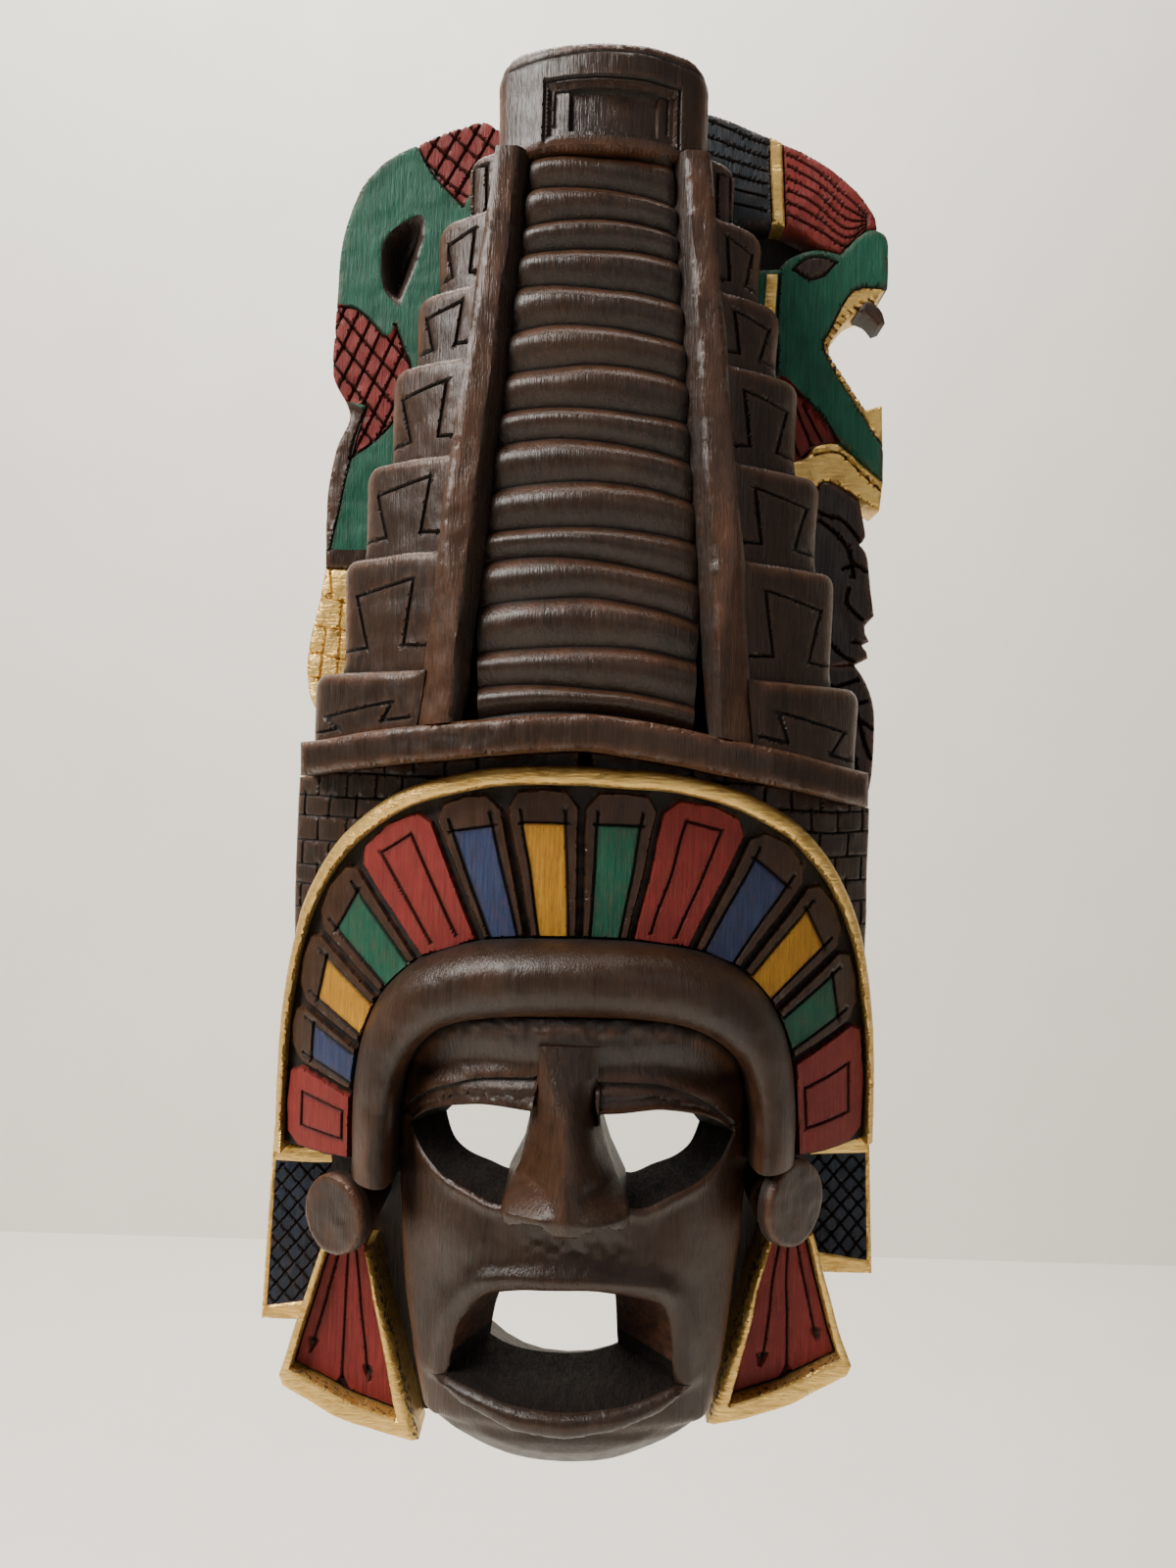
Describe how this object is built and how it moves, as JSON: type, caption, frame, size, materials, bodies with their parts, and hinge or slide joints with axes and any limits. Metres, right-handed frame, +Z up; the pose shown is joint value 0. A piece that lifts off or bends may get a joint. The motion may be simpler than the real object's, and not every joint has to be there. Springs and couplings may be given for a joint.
{
  "type": "carved folk art mask",
  "caption": "Carved and painted wooden wall mask: stepped temple with a serpent and a warrior beside it, feather fan, face with open eyes and mouth, hollow back with a hanging bail.",
  "frame": {"origin": "on the flat back, on the solid bridge between the face's hollow and the stair's hollow, at mid width", "axes": "+X to the viewer's right, +Y out of the flat back into the wall, +Z up the mask towards the temple; the carved front faces -Y"},
  "size_m": [0.232, 0.105, 0.502],
  "materials": {
    "stained_wood": "dark brown stain with a satin wax, reddish where edges are worn",
    "red_paint": "thin brick-red paint over wood, satin",
    "blue_paint": "thin denim-blue paint over wood, satin",
    "yellow_paint": "thin ochre-yellow paint over wood, satin",
    "green_paint": "thin leaf-green paint over wood, satin",
    "gold_paint": "metallic gold paint over wood, worn at the edges",
    "steel_wire": "zinc-plated steel wire"
  },
  "bodies": {
    "mask": {"carved_block": "stained_wood", "face": "stained_wood", "nose": "stained_wood", "lower_lip": "stained_wood", "headband": "stained_wood", "base_ledge": "stained_wood", "stair": "stained_wood", "temple": "stained_wood", "warrior_head": "stained_wood", "warrior_shoulder": "stained_wood", "ear_spool_left": "stained_wood", "brick_wall_left": "stained_wood", "balustrade_left": "stained_wood", "pendant_left": "red_paint", "pendant_frame_left": "gold_paint", "side_panel_left": "blue_paint", "ear_spool_right": "stained_wood", "brick_wall_right": "stained_wood", "balustrade_right": "stained_wood", "pendant_right": "red_paint", "pendant_frame_right": "gold_paint", "side_panel_right": "blue_paint", "terrace_left_1": "stained_wood", "terrace_left_2": "stained_wood", "terrace_left_3": "stained_wood", "terrace_left_4": "stained_wood", "terrace_left_5": "stained_wood", "terrace_left_6": "stained_wood", "terrace_left_7": "stained_wood", "terrace_right_1": "stained_wood", "terrace_right_2": "stained_wood", "terrace_right_3": "stained_wood", "terrace_right_4": "stained_wood", "terrace_right_5": "stained_wood", "terrace_right_6": "stained_wood", "terrace_right_7": "stained_wood", "feather_01": "red_paint", "feather_02": "blue_paint", "feather_03": "yellow_paint", "feather_04": "green_paint", "feather_05": "red_paint", "feather_06": "blue_paint", "feather_07": "yellow_paint", "feather_08": "green_paint", "feather_09": "red_paint", "feather_10": "blue_paint", "feather_11": "yellow_paint", "feather_12": "green_paint", "feather_13": "red_paint", "gold_rim": "gold_paint", "gold_scales": "gold_paint", "jaw_collar": "gold_paint", "serpent_body": "green_paint", "serpent_head": "green_paint", "serpent_crest": "red_paint", "screw_eyes": "steel_wire"},
    "hanger": {"hanging_bail": "steel_wire"}
  },
  "joints": [
    {"name": "bail_swing", "type": "hinge", "parent": "mask", "child": "hanger", "pos_m": [0, -0.01, 0.15], "axis": [1, 0, 0], "range_deg": [-12, 192]}
  ]
}
